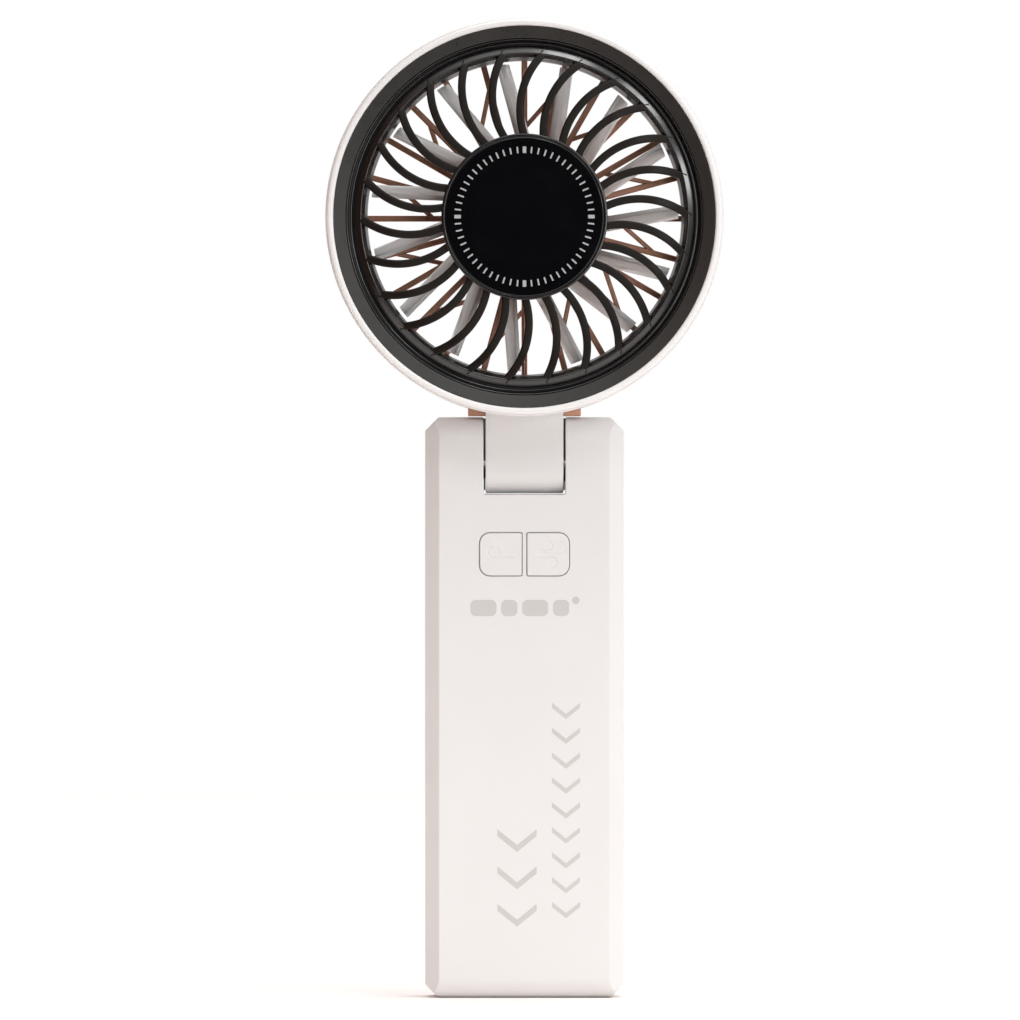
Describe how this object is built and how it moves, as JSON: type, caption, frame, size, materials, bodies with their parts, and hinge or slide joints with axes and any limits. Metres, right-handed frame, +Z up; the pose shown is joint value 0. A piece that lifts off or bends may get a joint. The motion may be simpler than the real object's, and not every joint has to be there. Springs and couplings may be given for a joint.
{
  "type": "handheld folding fan",
  "caption": "Battery fan with a flat-sided handle, push buttons and a round guarded head that folds back on a hinged arm.",
  "frame": {"origin": "centre of the handle's flat base, on the surface that it stands on", "axes": "+Z up the handle towards the head, -Y out of the front where the buttons and the grille are, +X to the right seen from the front"},
  "size_m": [0.0852, 0.0396, 0.2099],
  "materials": {
    "white_shell": "fine satin moulded plastic, warm white",
    "white_ring": "semi-gloss moulded plastic, warm white",
    "white_button": "satin moulded plastic, warm white",
    "grey_bezel": "satin dark grey",
    "black_gloss": "polished black",
    "black_grille": "gloss brown-black",
    "lens_black": "polished smoked lens",
    "blade_plastic": "milky translucent plastic",
    "copper_trim": "metallic copper",
    "steel": "machined steel",
    "dark_steel": "black oxide steel",
    "magnet": "sintered magnet",
    "copper_wire": "enamelled copper wire",
    "bronze": "oil-filled bronze",
    "nickel": "nickel strip",
    "cell_sleeve": "shrink-sleeved lithium cell",
    "black_plastic": "moulded black plastic",
    "board": "glass-fibre circuit board",
    "chip": "moulded component package",
    "capacitor": "ceramic component",
    "lead": "soft black lead"
  },
  "bodies": {
    "handle": {"front_shell": "white_shell", "rear_shell": "white_shell", "handle_screws": "dark_steel", "left_switch": "black_plastic", "right_switch": "black_plastic", "battery_cell_left": "cell_sleeve", "battery_cell_right": "cell_sleeve", "cell_links": "nickel", "battery_cradle": "black_plastic", "battery_leads": "lead", "main_board": "board", "charge_socket": "steel", "controller_chip": "chip", "power_inductor": "chip", "board_capacitors": "capacitor", "motor_connector": "white_button", "handle_lead": "lead", "hinge_pin": "steel", "hinge_sleeve": "steel", "friction_washers": "steel", "hinge_springs": "steel", "hinge_nuts": "steel"},
    "left_button": {"left_button": "white_button", "left_plunger": "black_plastic"},
    "right_button": {"right_button": "white_button", "right_plunger": "black_plastic"},
    "head": {"arm_body": "white_shell", "arm_cover": "white_shell", "hinge_bushes": "bronze", "neck_gussets": "copper_trim", "arm_screws": "dark_steel", "head_shell": "white_shell", "front_ring": "white_ring", "front_bezel": "grey_bezel", "front_grille": "black_grille", "duct": "black_gloss", "rear_guard": "copper_trim", "guard_screws": "dark_steel", "display_ring": "black_gloss", "display_lens": "lens_black", "display_board": "board", "display_module": "black_plastic", "motor_base": "nickel", "motor_screws": "dark_steel", "motor_board": "board", "stator_core": "steel", "stator_windings": "copper_wire", "front_bearing": "steel", "rear_bearing": "steel", "head_lead": "lead"},
    "impeller": {"impeller": "blade_plastic", "rotor_bell": "steel", "rotor_magnets": "magnet", "motor_shaft": "steel", "shaft_clip": "dark_steel"}
  },
  "joints": [
    {"name": "head_fold", "type": "hinge", "parent": "handle", "child": "head", "pos_m": [0, 0.0095, 0.11275], "axis": [-1, 0, 0], "range_deg": [0, 180]},
    {"name": "impeller_spin", "type": "hinge", "parent": "head", "child": "impeller", "pos_m": [0, 0, 0.1673], "axis": [0, 1, 0], "continuous": true},
    {"name": "left_button_press", "type": "slide", "parent": "handle", "child": "left_button", "axis": [0, 1, 0], "range_m": [0, 0.0003], "stiffness_N_per_m": 2500, "springref_m": -0.0003},
    {"name": "right_button_press", "type": "slide", "parent": "handle", "child": "right_button", "axis": [0, 1, 0], "range_m": [0, 0.0003], "stiffness_N_per_m": 2500, "springref_m": -0.0003}
  ]
}
